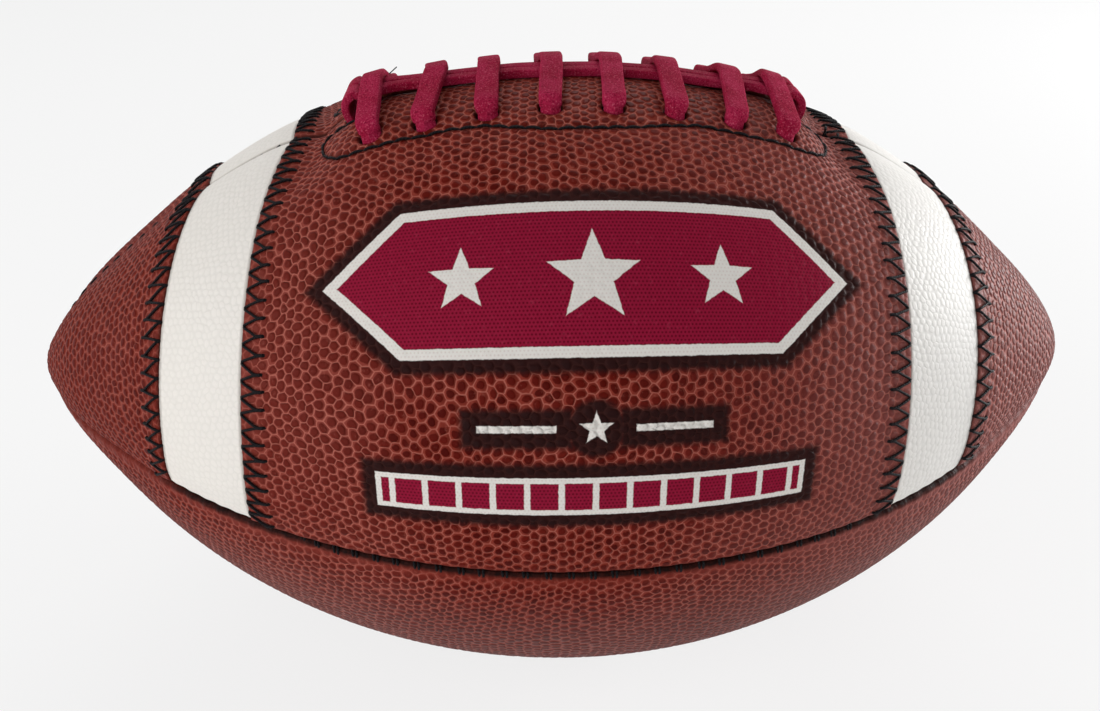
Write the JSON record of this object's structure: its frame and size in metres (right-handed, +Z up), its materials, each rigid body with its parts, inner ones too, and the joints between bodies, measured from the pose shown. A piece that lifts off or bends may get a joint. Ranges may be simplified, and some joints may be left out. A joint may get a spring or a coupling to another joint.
{
  "type": "american football",
  "caption": "American football: pebbled leather panels with white stripes, sewn round an inflatable bladder and closed on top by a lace.",
  "frame": {"origin": "on the surface that the ball lies on, below the ball's middle", "axes": "+X from tip to tip towards the right-hand tip, +Z up through the lace seam, -Y towards the side shown in the picture"},
  "size_m": [0.284, 0.167, 0.1728],
  "materials": {
    "brown_leather": "pebbled, tacky, dark pebbles in lighter orange-brown valleys",
    "white_leather": "pebbled, matte white coating",
    "facing_leather": "smooth dark split leather",
    "lining_fabric": "laminated woven cotton",
    "lace": "crimson, finely textured, satin",
    "thread": "black waxed polyester thread",
    "bladder_rubber": "smooth butyl rubber",
    "valve_rubber": "moulded rubber"
  },
  "bodies": {
    "root": {"bladder": "bladder_rubber", "valve_body": "valve_rubber", "valve_plug": "valve_rubber", "front_centre_panel": "brown_leather", "front_left_stripe": "white_leather", "front_right_stripe": "white_leather", "front_left_end_panel": "brown_leather", "front_right_end_panel": "brown_leather", "rear_centre_panel": "brown_leather", "rear_left_stripe": "white_leather", "rear_right_stripe": "white_leather", "rear_left_end_panel": "brown_leather", "rear_right_end_panel": "brown_leather", "front_lower_panel": "brown_leather", "rear_lower_panel": "brown_leather", "front_upper_lining": "lining_fabric", "rear_upper_lining": "lining_fabric", "front_lower_lining": "lining_fabric", "rear_lower_lining": "lining_fabric", "front_lace_facing": "facing_leather", "rear_lace_facing": "facing_leather", "tongue": "facing_leather", "lace": "lace", "front_seam_thread": "thread", "rear_seam_thread": "thread", "bottom_seam_thread": "thread", "top_seam_thread": "thread", "front_facing_thread": "thread", "rear_facing_thread": "thread", "front_left_inner_zigzag": "thread", "front_left_outer_zigzag": "thread", "front_right_inner_zigzag": "thread", "front_right_outer_zigzag": "thread", "rear_left_inner_zigzag": "thread", "rear_left_outer_zigzag": "thread", "rear_right_inner_zigzag": "thread", "rear_right_outer_zigzag": "thread"}
  },
  "joints": []
}
